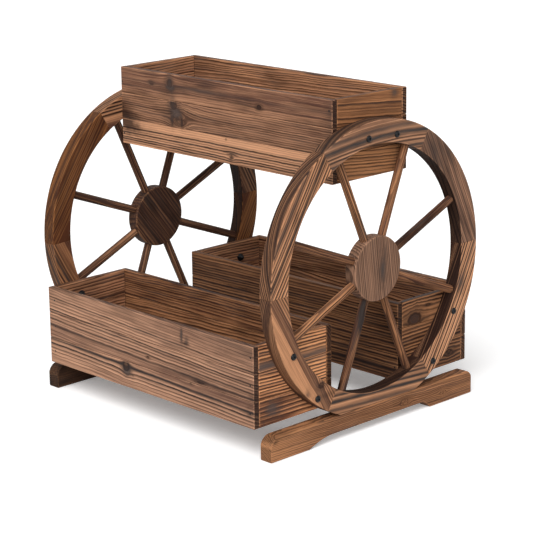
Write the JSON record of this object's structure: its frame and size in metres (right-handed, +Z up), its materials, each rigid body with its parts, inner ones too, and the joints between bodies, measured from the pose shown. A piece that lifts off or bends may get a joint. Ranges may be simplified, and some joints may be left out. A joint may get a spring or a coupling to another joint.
{
  "type": "flower cart stand",
  "caption": "Flower stand in the form of a cart: long plank planter boxes bolted between spoked wooden wheels that stand on bar feet.",
  "frame": {"origin": "on the ground, in the middle of the stand's bounding box", "axes": "+Z up; X runs along the planter boxes from wheel to wheel, the right wheel at +X; the front faces -Y"},
  "size_m": [0.6292, 0.561, 0.609],
  "materials": {
    "plank_wood": "scorched and brushed fir planks, semi-matt",
    "wheel_wood": "scorched and brushed fir, semi-matt",
    "spoke_wood": "scorched dowel, matt",
    "foot_wood": "smooth stained wood, semi-matt",
    "bolt_steel": "black, glossy"
  },
  "bodies": {
    "root": {"top_box_front_wall": "plank_wood", "top_box_back_wall": "plank_wood", "top_box_left_end": "plank_wood", "top_box_right_end": "plank_wood", "top_box_floor": "plank_wood", "front_box_front_wall": "plank_wood", "front_box_back_wall": "plank_wood", "front_box_left_end": "plank_wood", "front_box_right_end": "plank_wood", "front_box_floor": "plank_wood", "back_box_front_wall": "plank_wood", "back_box_back_wall": "plank_wood", "back_box_left_end": "plank_wood", "back_box_right_end": "plank_wood", "back_box_floor": "plank_wood", "left_felloe_1": "wheel_wood", "left_felloe_2": "wheel_wood", "left_felloe_3": "wheel_wood", "left_felloe_4": "wheel_wood", "left_felloe_5": "wheel_wood", "left_felloe_6": "wheel_wood", "left_hub": "wheel_wood", "left_spoke_1": "spoke_wood", "left_spoke_2": "spoke_wood", "left_spoke_3": "spoke_wood", "left_spoke_4": "spoke_wood", "left_spoke_5": "spoke_wood", "left_spoke_6": "spoke_wood", "left_spoke_7": "spoke_wood", "left_spoke_8": "spoke_wood", "left_foot": "foot_wood", "right_felloe_1": "wheel_wood", "right_felloe_2": "wheel_wood", "right_felloe_3": "wheel_wood", "right_felloe_4": "wheel_wood", "right_felloe_5": "wheel_wood", "right_felloe_6": "wheel_wood", "right_hub": "wheel_wood", "right_spoke_1": "spoke_wood", "right_spoke_2": "spoke_wood", "right_spoke_3": "spoke_wood", "right_spoke_4": "spoke_wood", "right_spoke_5": "spoke_wood", "right_spoke_6": "spoke_wood", "right_spoke_7": "spoke_wood", "right_spoke_8": "spoke_wood", "right_foot": "foot_wood", "top_box_left_bolt_1": "bolt_steel", "top_box_left_bolt_2": "bolt_steel", "top_box_right_bolt_1": "bolt_steel", "top_box_right_bolt_2": "bolt_steel", "front_box_left_bolt_1": "bolt_steel", "front_box_left_bolt_2": "bolt_steel", "front_box_right_bolt_1": "bolt_steel", "front_box_right_bolt_2": "bolt_steel", "back_box_left_bolt_1": "bolt_steel", "back_box_left_bolt_2": "bolt_steel", "back_box_right_bolt_1": "bolt_steel", "back_box_right_bolt_2": "bolt_steel"}
  },
  "joints": []
}
